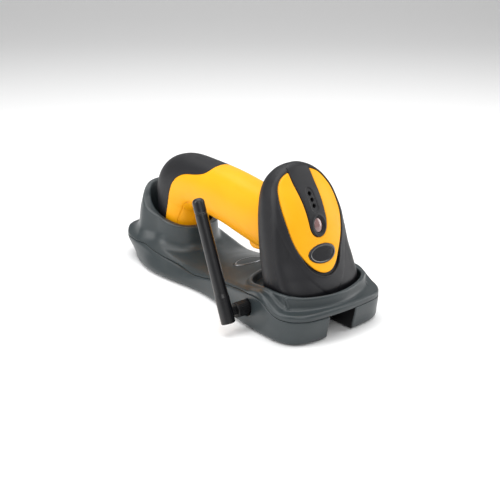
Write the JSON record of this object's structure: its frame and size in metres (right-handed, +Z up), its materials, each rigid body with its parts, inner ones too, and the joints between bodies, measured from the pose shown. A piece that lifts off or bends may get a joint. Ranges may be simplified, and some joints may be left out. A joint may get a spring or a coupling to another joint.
{
  "type": "handheld barcode scanner",
  "caption": "Cordless hand-held barcode scanner with yellow shell and black rubber boot, docked nose-down in a desk charging cradle with a stub antenna.",
  "frame": {"origin": "on the table plane under the middle of the whole part's box", "axes": "+X towards the scanner's head and the cradle's lead notch, +Z up, antenna on the -Y side"},
  "size_m": [0.2342, 0.1112, 0.1093],
  "materials": {
    "cradle_plastic": "satin moulded plastic, fine grain",
    "badge_silver": "satin silver foil",
    "circuit_board": "solder mask",
    "black_plastic": "moulded black plastic",
    "contact_gold": "gold flash",
    "spring_steel": "plated steel",
    "black_rubber": "soft matt overmould",
    "antenna_rubber": "smooth semi-gloss",
    "yellow_plastic": "satin-gloss yellow",
    "black_gloss": "glossy label",
    "lens_clear": "clear tinted lens",
    "window_red": "dark red window",
    "engine_metal": "die-cast zinc-aluminium",
    "cell_can": "sleeved can"
  },
  "bodies": {
    "cradle": {"cradle_cover": "cradle_plastic", "cradle_base": "cradle_plastic", "deck_badge": "badge_silver", "cradle_board": "circuit_board", "data_socket": "black_plastic", "charge_pin_block": "black_plastic", "pin_springs": "spring_steel", "rubber_feet": "black_rubber", "base_screws": "spring_steel", "antenna_nut": "black_plastic", "antenna_jack": "contact_gold", "antenna_lock_nut": "spring_steel"},
    "contact_pins": {"charging_pins": "contact_gold"},
    "antenna_joint": {"antenna_elbow": "black_plastic", "antenna_hinge_pin": "spring_steel"},
    "antenna": {"antenna_whip": "antenna_rubber", "antenna_element": "contact_gold"},
    "scanner": {"head_boot": "black_rubber", "head_housing": "yellow_plastic", "head_top_panel": "yellow_plastic", "spine_strip": "black_rubber", "head_badge": "black_gloss", "status_lens": "lens_clear", "scan_window": "window_red", "scan_engine": "engine_metal", "engine_lens": "window_red", "buzzer": "black_plastic", "handle_upper_shell": "yellow_plastic", "handle_lower_shell": "yellow_plastic", "grip_overmould": "black_rubber", "contact_carrier": "black_plastic", "contact_pads": "contact_gold", "trigger_pin": "spring_steel", "trigger_spring": "spring_steel", "main_board": "circuit_board", "trigger_switch": "black_plastic", "battery_cell": "cell_can", "handle_screws": "spring_steel"},
    "trigger": {"trigger": "yellow_plastic"}
  },
  "joints": [
    {"name": "scanner_lift", "type": "slide", "parent": "cradle", "child": "scanner", "axis": [0, 0, 1], "range_m": [0, 0.12]},
    {"name": "trigger_pull", "type": "hinge", "parent": "scanner", "child": "trigger", "pos_m": [0.04478, 0.00928, 0.0533], "axis": [0, 1, 0], "range_deg": [0, 7], "stiffness_Nm_per_rad": 0.35, "springref_deg": -5.73, "deforming": ["trigger_spring"]},
    {"name": "contact_press", "type": "slide", "parent": "cradle", "child": "contact_pins", "axis": [0, 0, -1], "range_m": [0, 0.001], "stiffness_N_per_m": 400, "springref_m": -0.0006, "deforming": ["pin_springs"]},
    {"name": "antenna_swivel", "type": "hinge", "parent": "cradle", "child": "antenna_joint", "pos_m": [0.06278, -0.05072, 0.0146], "axis": [0, 1, 0], "range_deg": [-64, 110]},
    {"name": "antenna_tilt", "type": "hinge", "parent": "antenna_joint", "child": "antenna", "pos_m": [0.06278, -0.05072, 0.0146], "axis": [0.9245, 0, 0.3811], "range_deg": [0, 90]}
  ]
}
